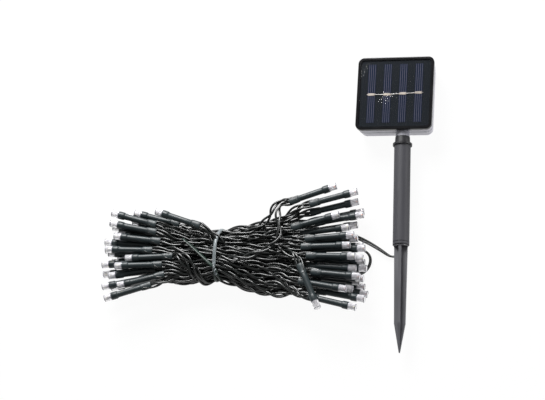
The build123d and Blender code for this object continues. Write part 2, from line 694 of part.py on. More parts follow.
lamp_pieces = {
    "lamp_tails": lamp_tail.part,
    "lamp_holders": lamp_holder.part,
    "led_lenses": led_lens.part,
    "led_frames": led_frame.part,
}
for end, rows, fan in (("left", LEFT_LAMPS, LEFT_FAN), ("right", RIGHT_LAMPS, RIGHT_FAN)):
    for kind, piece in lamp_pieces.items():
        places = [lamp_place(row, fan) for row in rows]
        save(Compound(children=[piece.moved(place) for place in places]), f"{kind}_{end}")
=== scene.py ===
"""Looks of the solar string lights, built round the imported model. Metres, in the model's own frame."""
import json
import math
import random

import bpy
import numpy as np
from mathutils import Matrix, Vector
from mathutils.kdtree import KDTree


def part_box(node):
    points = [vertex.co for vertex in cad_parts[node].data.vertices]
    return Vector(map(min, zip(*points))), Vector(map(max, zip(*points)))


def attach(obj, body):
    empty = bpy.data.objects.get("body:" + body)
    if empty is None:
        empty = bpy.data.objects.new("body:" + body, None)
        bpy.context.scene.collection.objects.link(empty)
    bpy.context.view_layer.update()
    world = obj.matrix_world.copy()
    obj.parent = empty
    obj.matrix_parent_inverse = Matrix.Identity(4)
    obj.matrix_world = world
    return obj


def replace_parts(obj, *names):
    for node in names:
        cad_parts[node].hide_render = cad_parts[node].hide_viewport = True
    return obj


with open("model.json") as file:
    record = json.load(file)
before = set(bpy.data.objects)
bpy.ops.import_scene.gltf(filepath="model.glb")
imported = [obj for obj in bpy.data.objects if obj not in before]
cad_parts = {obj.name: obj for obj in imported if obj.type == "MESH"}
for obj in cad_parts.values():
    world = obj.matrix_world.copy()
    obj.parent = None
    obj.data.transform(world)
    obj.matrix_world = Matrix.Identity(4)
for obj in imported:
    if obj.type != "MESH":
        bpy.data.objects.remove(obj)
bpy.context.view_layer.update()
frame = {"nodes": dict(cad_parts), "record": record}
nodes = frame["nodes"]
MM = 0.001
UP = Vector((0, 0, 1))

# ---- Camera ----
# It looks down at the flat lay from the lower right, rolled so that the head's top is up.
CAMERA_AZIMUTH = 36.75
CAMERA_ELEVATION = 67.26
CAMERA_ROLL = -35.16
CAMERA_DISTANCE = 1.8
CAMERA_TARGET = Vector((-0.1105, -0.0898, -0.0025))
CAMERA_LENS = 133.5


def placed(spot, x_axis, y_axis, z_axis):
    """The matrix of an object at a spot with these axes."""
    return Matrix.Translation(spot) @ Matrix((x_axis, y_axis, z_axis)).transposed().to_4x4()


def add_camera():
    """The camera, set from its direction, its roll and the point that it looks at."""
    azimuth, elevation = math.radians(CAMERA_AZIMUTH), math.radians(CAMERA_ELEVATION)
    level = math.cos(elevation)
    back = Vector((level * math.sin(azimuth), -level * math.cos(azimuth), math.sin(elevation)))
    right = (-back).cross(UP).normalized()
    up = back.cross(right)
    roll = Matrix.Rotation(math.radians(CAMERA_ROLL), 3, back)
    right, up = roll @ right, roll @ up
    data = bpy.data.cameras.new("camera")
    data.lens, data.sensor_width = CAMERA_LENS, 36
    data.clip_start, data.clip_end = 0.1, 20
    camera = bpy.data.objects.new("camera", data)
    bpy.context.scene.collection.objects.link(camera)
    camera.matrix_world = placed(CAMERA_TARGET + back * CAMERA_DISTANCE, right, up, back)
    bpy.context.scene.camera = camera


# ---- Materials ----
def shader(name, color, roughness, **inputs):
    """A node material whose Principled shader has constant inputs; returns it with its shader."""
    made = bpy.data.materials.new(name)
    made.use_nodes = True
    principled = made.node_tree.nodes["Principled BSDF"]
    principled.inputs["Base Color"].default_value = (*color, 1)
    principled.inputs["Roughness"].default_value = roughness
    for key, value in inputs.items():
        principled.inputs[key.replace("_", " ")].default_value = value
    return made, principled


def link(made, output, target):
    made.node_tree.links.new(output, target)


def noise(made, scale, detail=3, stretch=(1, 1, 1)):
    """Noise over the object's own coordinates, in features of about 1/scale metres."""
    tree = made.node_tree
    coordinates = tree.nodes.new("ShaderNodeTexCoord")
    mapping = tree.nodes.new("ShaderNodeMapping")
    mapping.inputs["Scale"].default_value = stretch
    texture = tree.nodes.new("ShaderNodeTexNoise")
    texture.inputs["Scale"].default_value = scale
    texture.inputs["Detail"].default_value = detail
    link(made, coordinates.outputs["Object"], mapping.inputs["Vector"])
    link(made, mapping.outputs["Vector"], texture.inputs["Vector"])
    return texture.outputs["Fac"]


def tint(made, principled, factor, dark, light, low=0.35, high=0.65):
    """Colour the surface between two tones by a factor."""
    ramp = made.node_tree.nodes.new("ShaderNodeValToRGB")
    ramp.color_ramp.elements[0].position, ramp.color_ramp.elements[1].position = low, high
    ramp.color_ramp.elements[0].color = (*dark, 1)
    ramp.color_ramp.elements[1].color = (*light, 1)
    link(made, factor, ramp.inputs["Fac"])
    link(made, ramp.outputs["Color"], principled.inputs["Base Color"])


def vary_roughness(made, principled, factor, low, high):
    spread = made.node_tree.nodes.new("ShaderNodeMapRange")
    spread.inputs["To Min"].default_value = low
    spread.inputs["To Max"].default_value = high
    link(made, factor, spread.inputs["Value"])
    link(made, spread.outputs["Result"], principled.inputs["Roughness"])


def bump(made, principled, factor, distance, strength=1.0):
    node = made.node_tree.nodes.new("ShaderNodeBump")
    node.inputs["Distance"].default_value = distance
    node.inputs["Strength"].default_value = strength
    link(made, factor, node.inputs["Height"])
    link(made, node.outputs["Normal"], principled.inputs["Normal"])


def pvc(name, dark, light, roughness):
    """Cord insulation: nearly black green, glossy, with soft unevenness."""
    made, principled = shader(
        name, dark, roughness, Specular_IOR_Level=0.6, Coat_Weight=0.3, Coat_Roughness=0.14,
    )
    tint(made, principled, noise(made, 90), dark, light)
    vary_roughness(made, principled, noise(made, 30), roughness - 0.03, roughness + 0.04)
    bump(made, principled, noise(made, 3000), 0.000001)
    return made


def moulded(name, dark, light, roughness, grain=1500, stretch=(1, 1, 1), depth=0.00003, **inputs):
    """Moulded plastic with a fine grain and a little tone variation."""
    made, principled = shader(name, dark, roughness, **inputs)
    tint(made, principled, noise(made, 80, stretch=stretch), dark, light)
    vary_roughness(made, principled, noise(made, 120, stretch=stretch), roughness - 0.05, roughness + 0.06)
    bump(made, principled, noise(made, grain, stretch=stretch), depth)
    return made


def metal(name, color, roughness):
    made, principled = shader(name, color, roughness, Metallic=1.0)
    vary_roughness(made, principled, noise(made, 900), roughness - 0.05, roughness + 0.1)
    bump(made, principled, noise(made, 2500), 0.00001)
    return made


def clear(name, dark, light, roughness, ior, transmission, grain=60):
    """A clear or cloudy moulding with a slightly uneven tone."""
    made, principled = shader(name, light, roughness, IOR=ior, Transmission_Weight=transmission)
    tint(made, principled, noise(made, grain), dark, light)
    vary_roughness(made, principled, noise(made, 500), roughness, roughness + 0.05)
    return made


def panel_black():
    """The panel's black face, with the pale specks of dust and bubbles that its resin holds."""
    made, principled = shader("panel_black", (0.006, 0.007, 0.009), 0.12, Specular_IOR_Level=0.3)
    tree = made.node_tree
    coordinates = tree.nodes.new("ShaderNodeTexCoord")
    cells = tree.nodes.new("ShaderNodeTexVoronoi")
    cells.inputs["Scale"].default_value = 230
    cells.inputs["Randomness"].default_value = 1.0
    link(made, coordinates.outputs["Object"], cells.inputs["Vector"])
    near = cells.outputs["Distance"]
    tint(made, principled, near, (0.20, 0.21, 0.23), (0.0105, 0.013, 0.0165), 0.02, 0.055)
    vary_roughness(made, principled, noise(made, 90), 0.08, 0.17)
    return made


def film(name):
    """A thin clear layer that only adds gloss to what lies under it."""
    made, principled = shader(name, (0.002, 0.002, 0.003), 0.05, Alpha=0.05, Specular_IOR_Level=0.5)
    vary_roughness(made, principled, noise(made, 60), 0.03, 0.08)
    return made


GRID_LINE_SCALE = 179.52     # of the wave texture, for the grid lines' spacing on a cell


def solar_cell():
    """Dark blue silicon with fine pale grid lines along Y and a darker crystal grain."""
    made, principled = shader("cell_blue", (0.02, 0.03, 0.09), 0.12, Specular_IOR_Level=0.3)
    tree = made.node_tree
    coordinates = tree.nodes.new("ShaderNodeTexCoord")
    wave = tree.nodes.new("ShaderNodeTexWave")
    wave.wave_type, wave.bands_direction = "BANDS", "X"
    wave.inputs["Scale"].default_value = GRID_LINE_SCALE
    wave.inputs["Phase Offset"].default_value = 0
    link(made, coordinates.outputs["Object"], wave.inputs["Vector"])
    tint(made, principled, wave.outputs["Fac"], (0.008, 0.0125, 0.029), (0.082, 0.084, 0.115), 0.8, 0.96)
    vary_roughness(made, principled, noise(made, 300), 0.08, 0.18)
    return made


MATERIALS = {}


def finish(name, make, *values, **inputs):
    MATERIALS[name] = make(name, *values, **inputs)


finish("cord_green", pvc, (0.0008, 0.0018, 0.0016), (0.002, 0.004, 0.0036), 0.27)
finish("holder_green", moulded, (0.007, 0.013, 0.015), (0.012, 0.021, 0.024), 0.42, depth=0.000002)
finish("tie_green", moulded, (0.007, 0.018, 0.013), (0.016, 0.034, 0.026), 0.4, depth=0.00001)
finish("tie_pale", moulded, (0.13, 0.15, 0.158), (0.20, 0.225, 0.235), 0.34, depth=0.00001)
finish(
    "stake_grey", moulded, (0.034, 0.034, 0.040), (0.050, 0.050, 0.058), 0.54,
    stretch=(1, 0.12, 1), depth=0.000012, Specular_IOR_Level=0.3,
)
finish(
    "collar_grey", moulded, (0.010, 0.010, 0.012), (0.019, 0.019, 0.022), 0.45,
    depth=0.000012, Specular_IOR_Level=0.3,
)
finish(
    "spike_grey", moulded, (0.053, 0.053, 0.060), (0.076, 0.076, 0.086), 0.42,
    stretch=(1, 0.3, 1), depth=0.000014,
)
finish(
    "cover_black", moulded, (0.003, 0.003, 0.004), (0.006, 0.006, 0.007), 0.14,
    depth=0.000001, Specular_IOR_Level=0.3,
)
MATERIALS["panel_black"] = panel_black()
MATERIALS["cell_blue"] = solar_cell()
finish("ribbon_silver", metal, (0.30, 0.29, 0.28), 0.4)
finish("solder_cream", moulded, (0.22, 0.19, 0.165), (0.40, 0.35, 0.30), 0.5, grain=900)
finish("resin_clear", film)
finish("case_clear", clear, (0.48, 0.47, 0.54), (0.58, 0.57, 0.64), 0.3, 1.46, 0.3)
finish("socket_clear", clear, (0.46, 0.46, 0.52), (0.60, 0.60, 0.67), 0.16, 1.46, 0.4)
finish("gasket_black", moulded, (0.02, 0.02, 0.02), (0.03, 0.03, 0.03), 0.6)
finish("screw_steel", metal, (0.55, 0.55, 0.55), 0.3)
finish("pcb_green", moulded, (0.01, 0.07, 0.03), (0.02, 0.11, 0.05), 0.35)
finish("component_black", moulded, (0.02, 0.02, 0.02), (0.03, 0.03, 0.03), 0.5)
finish("ferrite", moulded, (0.05, 0.05, 0.05), (0.09, 0.085, 0.08), 0.6)
finish("battery_wrap", moulded, (0.02, 0.14, 0.06), (0.04, 0.20, 0.10), 0.25)
finish("cradle_white", moulded, (0.55, 0.55, 0.54), (0.70, 0.70, 0.69), 0.5)
finish("contact_nickel", metal, (0.70, 0.68, 0.64), 0.22)
finish("button_rubber", moulded, (0.03, 0.03, 0.033), (0.045, 0.045, 0.048), 0.7)
finish("hookup_wire", moulded, (0.35, 0.02, 0.02), (0.5, 0.04, 0.03), 0.4)
finish("led_clear", clear, (0.62, 0.61, 0.65), (0.97, 0.96, 0.99), 0.08, 1.5, 0.5, grain=420)
finish("led_metal", metal, (0.16, 0.155, 0.17), 0.35)
# The rims' dark grey is painted shade: the clear lens has no dark ring, this stands for the dark edges that
# refraction and internal reflection give it
finish("led_rim", moulded, (0.14, 0.14, 0.16), (0.27, 0.27, 0.30), 0.2)
finish("phosphor_yellow", moulded, (0.62, 0.56, 0.07), (0.86, 0.80, 0.16), 0.5)
finish("phosphor_orange", moulded, (0.72, 0.16, 0.03), (0.95, 0.30, 0.07), 0.5)
CAD_FINISHES = {
    "stake_socket": "socket_clear", "stake_collar": "collar_grey", "ground_spike": "spike_grey",
}


def paint_cad_nodes():
    """Give each CAD node the material of its slot in the record."""
    for row in frame["record"]["subparts"]:
        target = nodes[row["node"]]
        target.data.materials.clear()
        target.data.materials.append(MATERIALS[row["material_slot"]])
    for name, finish in CAD_FINISHES.items():
        nodes[name].data.materials[0] = MATERIALS[finish]


# ---- Mesh helpers ----
def add_mesh(name, points, faces, slot, body="head", smooth=True):
    """A mesh piece that rides on a body and has a slot's finish."""
    data = bpy.data.meshes.new(name)
    data.from_pydata([tuple(point) for point in points], [], faces)
    data.validate()
    data.polygons.foreach_set("use_smooth", [smooth] * len(data.polygons))
    data.materials.append(MATERIALS[slot])
    piece = bpy.data.objects.new(name, data)
    bpy.context.scene.collection.objects.link(piece)
    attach(piece, body)
    return piece


def join_rings(start, rings, count, faces, inward=False):
    """Add the faces between rings of points that follow each other from a start, and both end caps."""
    for ring in range(rings - 1):
        low = start + ring * count
        for step in range(count):
            after = (step + 1) % count
            face = (low + step, low + after, low + count + after, low + count + step)
            faces.append((face[0], face[3], face[2], face[1]) if inward else face)
    first = range(start, start + count)
    last = range(start + (rings - 1) * count, start + rings * count)
    faces.append(tuple(first if inward else reversed(first)))
    faces.append(tuple(reversed(last) if inward else last))


def lengths_along(line):
    """How far each of a line's points lies along it."""
    lengths = [0.0]
    for a, b in zip(line, line[1:]):
        lengths.append(lengths[-1] + (b - a).length)
    return lengths


def nurbs_points(name, points, resolution):
    """The centreline of a NURBS cord through control points, as a list of vectors."""
    curve = bpy.data.curves.new(name, "CURVE")
    curve.dimensions = "3D"
    spline = curve.splines.new("NURBS")
    spline.points.add(len(points) - 1)
    for target, point in zip(spline.points, points):
        target.co = (*point, 1)
    spline.order_u = 3
    spline.use_endpoint_u = True
    spline.resolution_u = resolution
    holder = bpy.data.objects.new(name, curve)
    line = bpy.data.meshes.new_from_object(holder)
    found = [vertex.co.copy() for vertex in line.vertices]
    bpy.data.objects.remove(holder)
    bpy.data.meshes.remove(line)
    bpy.data.curves.remove(curve)
    return found


def level_frames(line):
    """Unit vectors beside and above a line at each of its points, with the first kept level."""
    sides, ups = [], []
    for index in range(len(line)):
        ahead = line[min(index + 1, len(line) - 1)] - line[max(index - 1, 0)]
        side = UP.cross(ahead)
        side = side.normalized() if side.length > 1e-9 else sides[-1].copy()
        if sides and side.dot(sides[-1]) < -0.2:
            side = sides[-1].copy()
        sides.append(side)
        ups.append(ahead.normalized().cross(side).normalized())
    return sides, ups


def tube(line, radius, sides_count, points, faces):
    """Add a round closed tube along a line to lists of points and faces."""
    start = len(points)
    sides, ups = level_frames(line)
    for point, side, above in zip(line, sides, ups):
        for step in range(sides_count):
            angle = 2 * math.pi * step / sides_count
            points.append(point + side * (radius * math.cos(angle)) + above * (radius * math.sin(angle)))
    join_rings(start, len(line), sides_count, faces)


def islands(node):
    """The separate solids of a CAD node, each as an array of its points."""
    data = nodes[node].data
    keys = {}
    ids = [keys.setdefault(tuple(round(c, 6) for c in vertex.co), len(keys)) for vertex in data.vertices]
    parent = list(range(len(keys)))

    def root(index):
        while parent[index] != index:
            parent[index] = parent[parent[index]]
            index = parent[index]
        return index

    for polygon in data.polygons:
        first = root(ids[polygon.vertices[0]])
        for other in polygon.vertices[1:]:
            parent[root(ids[other])] = first
            first = root(first)
    groups = {}
    for key, index in keys.items():
        groups.setdefault(root(index), []).append(key)
    return [np.array(group) for group in groups.values()]


# ---- Head ----
def rounded_square(half, corner, z, steps=6):
    """Points round a square with round corners."""
    points = []
    for quarter, (sx, sy) in enumerate(((1, 1), (-1, 1), (-1, -1), (1, -1))):
        for step in range(steps + 1):
            angle = math.radians(90 * (quarter + step / steps))
            points.append((
                sx * (half - corner) + corner * math.cos(angle),
                sy * (half - corner) + corner * math.sin(angle), z,
            ))
    return points


def stacked(name, rings, slot, body="head"):
    """A closed piece from rings of points of equal count, in metres."""
    points, faces = [point for ring in rings for point in ring], []
    join_rings(0, len(rings), len(rings[0]), faces)
    return add_mesh(name, points, faces, slot, body)


def ribbon_sway(x):
    """How far the hand-soldered ribbon lies off the panel's middle line at some X, in metres."""
    return float(np.interp(x / MM, (-24, -7.5, 8, 24), (-0.95, -1.2, -0.55, 0.05))) * MM


# Rows of the poured film's edge, inset and drop below its top, and of a solder tab, inset as a share and
# rise above the cells, in millimetres
FILM_ROWS = ((0.02, 0.42), (0.02, 0.1), (0.08, 0.03), (0.2, 0.0))
FILM_CORNER = 4.6 * MM
TAB_ROWS = ((0.0, -0.1), (0.0, 0.05), (0.07, 0.16), (0.2, 0.23), (0.5, 0.22))


def make_panel():
    """The poured resin with its rounded edge, the solder on each cell, and the ribbon that joins them."""
    low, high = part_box("panel_resin")
    half, top = (high[0] - low[0]) / 2, high[2]
    rings = [rounded_square(half - inset * MM, FILM_CORNER, top - drop * MM) for inset, drop in FILM_ROWS]
    resin = stacked("resin_face", rings, "resin_clear")
    resin.data.polygons[len(resin.data.polygons) - 1].use_smooth = False
    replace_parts(resin, "panel_resin")
    points, faces = [], []
    for tab in islands("solder_tabs"):
        low, high = tab.min(0), tab.max(0)
        middle = (low + high) / 2
        middle[1] += ribbon_sway(middle[0])
        start, sides = len(points), 20
        reach = (high - low) / 2
        for inset, rise in TAB_ROWS:
            for step in range(sides):
                angle = 2 * math.pi * step / sides
                bulge = 1 + 0.04 * math.sin(3 * angle + 40 * middle[0] / MM) - inset * 0.6
                x = reach[0] * bulge * np.sign(math.cos(angle)) * abs(math.cos(angle)) ** 0.25
                y = reach[1] * bulge * np.sign(math.sin(angle)) * abs(math.sin(angle)) ** 0.35
                points.append((middle[0] + x, middle[1] + y, low[2] + rise * MM))
        join_rings(start, len(TAB_ROWS), sides, faces)
    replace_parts(add_mesh("solder_lumps", points, faces, "solder_cream"), "solder_tabs")
    low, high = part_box("cell_ribbon")
    rings = []
    for step in range(41):
        share = step / 40
        x = low[0] + (high[0] - low[0]) * share
        sway, wide = ribbon_sway(x) / MM, 0.33 + 0.07 * math.sin(31 * share)
        rings.append([
            (x, (sway + side * wide) * MM, high[2] + rise * MM)
            for side, rise in ((-1, -0.08), (1, -0.08), (1, 0.02), (0, 0.06), (-1, 0.02))
        ])
    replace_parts(stacked("ribbon_wire", rings, "ribbon_silver"), "cell_ribbon")


def make_strain_relief(line):
    """A soft ribbed boot that tapers along the lead where it leaves the case."""
    boot = [point for point in line if point.y > -0.0475]
    sides, ups = level_frames(boot)
    rings = []
    reach = (boot[0] - boot[-1]).length
    for point, side, above in zip(boot, sides, ups):
        share = (boot[0] - point).length / reach
        radius = (2.5 - 0.75 * share + (0.16 if int(share * 16) % 2 and share > 0.35 else 0)) * MM
        rings.append([
            point + side * (radius * 1.08 * math.cos(2 * math.pi * step / 20))
            + above * (radius * 0.92 * math.sin(2 * math.pi * step / 20)) for step in range(20)
        ])
    relief = stacked("lead_boot", rings, "holder_green")
    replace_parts(relief, "strain_relief")
    return relief


# Given lines of the tie's twist and of its long and short tails, in millimetres
TIE_TWIST = [(-151.6, -157.5, 29.4), (-151.2, -160.5, 30.4), (-150.2, -164, 30.2), (-148.6, -168.5, 28.2)]
TIE_LONG_TAIL = [
    (-150.6, -162, 30), (-153, -160.2, 31.2), (-157.5, -156, 31.4), (-164, -150, 31.0), (-172, -142.6, 30.4),
    (-181, -135.4, 29.6),
]
TIE_SHORT_TAIL = [
    (-149.8, -163.5, 30), (-148.2, -167.6, 28.8), (-146.6, -170.6, 26.6), (-145.4, -172.4, 24.6),
]


# The tie's section, a flat wing with a wire along its middle, in half widths and half thicknesses
TIE_SECTION = (
    (-1, -0.3), (-0.35, -0.5), (0, -1), (0.35, -0.5), (1, -0.3), (1, 0.3), (0.35, 0.5), (0, 1), (-0.35, 0.5),
    (-1, 0.3),
)


def ribbon(line, wide, thick, twist, points, faces):
    """Add a flat strip that turns about a line, as the tie's paper or plastic wing does."""
    sides, ups = level_frames(line)
    start = len(points)
    for index, (point, side, above) in enumerate(zip(line, sides, ups)):
        angle = twist * index / (len(line) - 1)
        across = side * math.cos(angle) + above * math.sin(angle)
        lift = above * math.cos(angle) - side * math.sin(angle)
        for x, y in TIE_SECTION:
            points.append(point + across * (x * wide / 2) + lift * (y * thick / 2))
    join_rings(start, len(line), len(TIE_SECTION), faces)


def make_tie():
    """The wired plastic tie: a flat band round the waist, its twist, and its two tails."""
    middle_y, middle_z, wide, high = section(TIE_X)
    halves = []
    for name, first, last, width, slot in (
        ("tie_band", -33, 150, 2.9, "tie_pale"), ("tie_back", 150, 326, 2.1, "tie_green"),
    ):
        band = []
        for step in range(41):
            angle = math.radians(first + (last - first) * step / 40)
            y, z = (wide + 0.3 * MM) * math.sin(angle), (high + 0.3 * MM) * math.cos(angle)
            lean = 1.2 * MM + 5.5 * MM * max(0.0, math.sin(angle) - 0.35) ** 1.5
            band.append(Vector((TIE_X + lean, middle_y + y, max(middle_z + z, 0.6 * MM))))
        points, faces = [], []
        ribbon(band, width * MM, 0.9 * MM, 0, points, faces)
        halves.append(add_mesh(name, points, faces, slot))
    twist_line = nurbs_points("tie_twist_line", [Vector(p) * MM for p in TIE_TWIST], 10)
    points, faces = [], []
    for phase in (0, math.pi):
        sides, ups = level_frames(twist_line)
        strand = []
        for index, (point, side, above) in enumerate(zip(twist_line, sides, ups)):
            angle = phase + 4.5 * math.pi * index / (len(twist_line) - 1)
            strand.append(point + (side * math.cos(angle) + above * math.sin(angle)) * 0.75 * MM)
        ribbon(strand, 1.7 * MM, 0.9 * MM, 3 * math.pi, points, faces)
    knot = add_mesh("tie_knot", points, faces, "tie_pale")
    points, faces = [], []
    for name, route, turn in (("tie_tail_line", TIE_LONG_TAIL, 0.9), ("tie_end_line", TIE_SHORT_TAIL, 1.2)):
        tail = nurbs_points(name, [Vector(p) * MM for p in route], 8)
        ribbon(tail, 2.7 * MM, 0.8 * MM, turn, points, faces)
    tails = add_mesh("tie_tails", points, faces, "tie_green")
    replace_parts(halves[0], "twist_tie")
    return halves + [knot, tails]


# ---- Lamps ----
TAIL_LENGTH = 9.3 * MM
LENS_PLACE = 40.1 * MM       # from the tail's end to the middle of the lens


class Lamp:
    """A lamp's place: the end of its tail, its direction towards the lens, and its end of the hank."""

    def __init__(self, holder, lenses, end):
        centre = holder.mean(0)
        axis = np.linalg.svd(holder - centre, full_matrices=False)[2][0]
        middles = [(lens.min(0) + lens.max(0)) / 2 for lens in lenses]
        offsets = [middle - centre for middle in middles]
        reach = [
            abs(np.linalg.norm(np.cross(offset, axis))) + abs(abs(offset @ axis) - 0.018)
            for offset in offsets
        ]
        nearest = offsets[int(np.argmin(reach))]
        if nearest @ axis < 0:
            axis = -axis
        back = ((holder - centre) @ axis).min()
        self.end = end
        self.along = Vector(axis).normalized()
        self.side = UP.cross(self.along).normalized()
        self.tail = Vector(centre + axis * back) - self.along * TAIL_LENGTH
        self.lens = self.tail + self.along * LENS_PLACE

    def point(self, along, side=0.0, above=0.0):
        """A point in the lamp's own frame, in millimetres."""
        return self.tail + (self.along * along + self.side * side + UP * above) * MM


def find_lamps(end):
    lenses = islands(f"led_lenses_{end}")
    return [Lamp(holder, lenses, end) for holder in islands(f"lamp_holders_{end}")]


# Outline of a holder with its tail: place along it, half width and half height, in millimetres
HOLDER_OUTLINE = [
    (1.4, 2.6, 1.3), (0.2, 2.9, 1.5), (0.0, 3.2, 1.75), (0.35, 3.4, 1.9), (3.0, 3.45, 1.95), (6.6, 3.4, 2.0),
    (8.0, 3.25, 2.2), (8.9, 3.1, 2.5), (9.3, 3.0, 2.7), (9.5, 2.6, 2.45), (9.8, 2.55, 2.5), (10.1, 2.65, 2.6),
    (14, 2.68, 2.68), (20, 2.7, 2.7), (28, 2.72, 2.72), (30.4, 2.76, 2.76), (31.1, 2.9, 2.9),
    (31.5, 3.25, 3.25), (31.9, 3.38, 3.38), (34, 3.42, 3.42), (36.2, 3.42, 3.42), (36.7, 3.3, 3.3),
    (36.8, 3.1, 3.1), (36.3, 2.85, 2.85), (34, 2.8, 2.8),
]
LENS_OUTLINE = [
    (33.5, 2.5), (36.3, 2.6), (36.75, 2.75), (36.75, 3.15), (36.95, 3.28), (37.7, 3.28), (37.9, 3.12),
    (42.7, 3.1), (43.3, 3.0), (43.5, 2.75), (43.35, 2.1), (42.9, 1.2), (42.75, 0.5),
]
HOLDER_SIDES = 24


def lofted(lamp, outline, count, points, faces):
    """Add a closed loft of elliptical sections along a lamp to lists of points and faces."""
    start = len(points)
    for row in outline:
        along, wide, high = row if len(row) == 3 else (row[0], row[1], row[1])
        for step in range(count):
            angle = 2 * math.pi * step / count
            points.append(lamp.point(along, wide * math.cos(angle), high * math.sin(angle)))
    join_rings(start, len(outline), count, faces, inward=True)


def hoop(lamp, outline, count, points, faces):
    """Add a closed ring, whose own section is an outline of places along a lamp and radii."""
    start, rows = len(points), len(outline)
    for along, radius in outline:
        for step in range(count):
            angle = 2 * math.pi * step / count
            points.append(lamp.point(along, radius * math.cos(angle), radius * math.sin(angle)))
    for ring in range(rows):
        low, high = start + ring * count, start + (ring + 1) % rows * count
        for step in range(count):
            after = (step + 1) % count
            faces.append((low + step, high + step, high + after, low + after))


def slab(lamp, low, high, points, faces):
    """Add a box between two corners in the lamp's own millimetres."""
    start = len(points)
    for along in (low[0], high[0]):
        for side in (low[1], high[1]):
            for above in (low[2], high[2]):
                points.append(lamp.point(along, side, above))
    for face in ((0, 1, 3, 2), (4, 6, 7, 5), (0, 4, 5, 1), (2, 3, 7, 6), (0, 2, 6, 4), (1, 5, 7, 3)):
        faces.append(tuple(start + corner for corner in face))


def make_lamps(end, lamps):
    """Holders, lenses, lead frames, chips and rims in painted shade for one end of the hank."""
    holder, lens, painted_shade_rim, metal_parts, yellow, orange = (([], []) for _ in range(6))
    for index, lamp in enumerate(lamps):
        lofted(lamp, HOLDER_OUTLINE, HOLDER_SIDES, *holder)
        lofted(lamp, LENS_OUTLINE, 20, *lens)
        # Rings at the lens's end edge and at its base flange: real shapes, but their dark grey colour is
        # painted shade for the lens's refracted dark edges
        hoop(lamp, [(42.85, 2.9), (42.9, 3.17), (43.35, 3.1), (43.55, 2.8), (43.3, 2.6)], 20, *painted_shade_rim)
        hoop(lamp, [(36.6, 2.9), (36.7, 3.35), (37.15, 3.35), (37.2, 2.9)], 20, *painted_shade_rim)
        slab(lamp, (34, -1.9, -0.5), (39.4, -0.4, 0.5), *metal_parts)
        slab(lamp, (34, 0.4, -0.5), (40.9, 2.0, 0.5), *metal_parts)
        lofted(lamp, [(39.6, 1.0), (41.3, 1.7), (41.3, 1.4), (40.6, 0.9)], 12, *metal_parts)
        chip = orange if end == "right" and index % 3 else yellow
        lofted(lamp, [(40.6, 0.9), (41.8, 1.35), (42.2, 1.1), (42.35, 0.4)], 10, *chip)
    made = [
        add_mesh(f"lamp_bodies_{end}", *holder, "holder_green"),
        add_mesh(f"lamp_lenses_{end}", *lens, "led_clear"),
        add_mesh(f"lamp_frames_{end}", *metal_parts, "led_metal", smooth=False),
        add_mesh(f"lamp_rims_painted_shade_{end}", *painted_shade_rim, "led_rim"),
        add_mesh(f"lamp_chips_{end}", *yellow, "phosphor_yellow"),
    ]
    if orange[0]:
        made.append(add_mesh(f"lamp_orange_chips_{end}", *orange, "phosphor_orange"))
    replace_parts(made[0], f"lamp_holders_{end}", f"lamp_tails_{end}")
    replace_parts(made[1], f"led_lenses_{end}")
    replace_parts(made[2], f"led_frames_{end}")
    return made


# ---- Hank ----
WIRE_RADIUS = 1.06 * MM
TWIST_RADIUS = 1.08 * MM
TWIST_PITCH = 36 * MM
LEAD_WIDTH = 3.9 * MM
LEAD_THICKNESS = 2.0 * MM
LEAD_PASSES = 12
HANK_BASE = 1.3 * MM
# The CAD hank's sections: X, centre Y, width and height, in millimetres
HANK_SECTIONS = np.array([
    (-205, -142, 64, 22), (-180, -145, 54, 25), (-153, -146.5, 47, 27), (-122, -144.5, 60, 26),
    (-88, -143, 84, 22),
]) * MM
TIE_X = -153 * MM
STATIONS = np.arange(-201, -84, 12) * MM
RUN_GAP = 3.7 * MM           # nearest that two twisted pairs' centres come, nested
LAMP_GAP = 4.6 * MM
SETTLE_TURNS = 260           # passes that push whole runs apart
SEPARATE_TURNS = 36          # passes that push single wires apart, and how often they look for neighbours
SEARCH_EVERY = 9
SMOOTH_TURNS = 34            # passes that even out what the wires were moved by
WIRE_SIDES = 8
RUN_GROUP = 6                # runs that share a column of places in the waist
ORDER_SPREAD = 9             # how far the string's order strays across the hank, in millimetres
LOW_BOWS = (13 * MM, 24 * MM)  # how far the lowest wires bulge out left and right of the tie
LEAD_GAP = 3.6 * MM
# Loose loops of single lamps that lie over the hank's near side, in millimetres
STRAYS = {
    "right_top_out": [(-93, -99.5, 27), (-99.4, -103.7, 28.6), (-102.4, -108.5, 28.8), (-103.9, -115, 27)],
    "right_top_in": [
        (-95, -103, 26), (-97.3, -110, 28.4), (-96.4, -117, 30.2), (-94.6, -125, 30.8), (-93.6, -131, 30.9),
        (-95.6, -137.6, 30.9), (-100.8, -142.6, 30.8), (-108.5, -147.4, 30.6), (-119.4, -151.6, 30.3),
        (-131, -154.2, 29.4),
    ],
    "left_low_out": [
        (-187, -150.4, 25.5), (-180.6, -154.6, 27.4), (-175.2, -160.4, 26.3), (-171, -166, 22.4),
        (-168, -170.4, 15), (-163, -171.6, 8.5),
    ],
    "left_low_in": [
        (-186, -147.6, 26), (-178.5, -150.6, 28.3), (-171.5, -156.6, 27.9), (-167.3, -163.6, 24.8),
        (-164, -169.6, 17.5), (-160, -171.8, 10.5),
    ],
}


def section(x):
    """Centre and half sizes of the CAD hank's section at some X: cy, cz, half width, half height."""
    rows = [np.interp(x, HANK_SECTIONS[:, 0], HANK_SECTIONS[:, column]) for column in (1, 2, 3)]
    return rows[0], HANK_BASE + rows[2] / 2, rows[1] / 2, rows[2] / 2


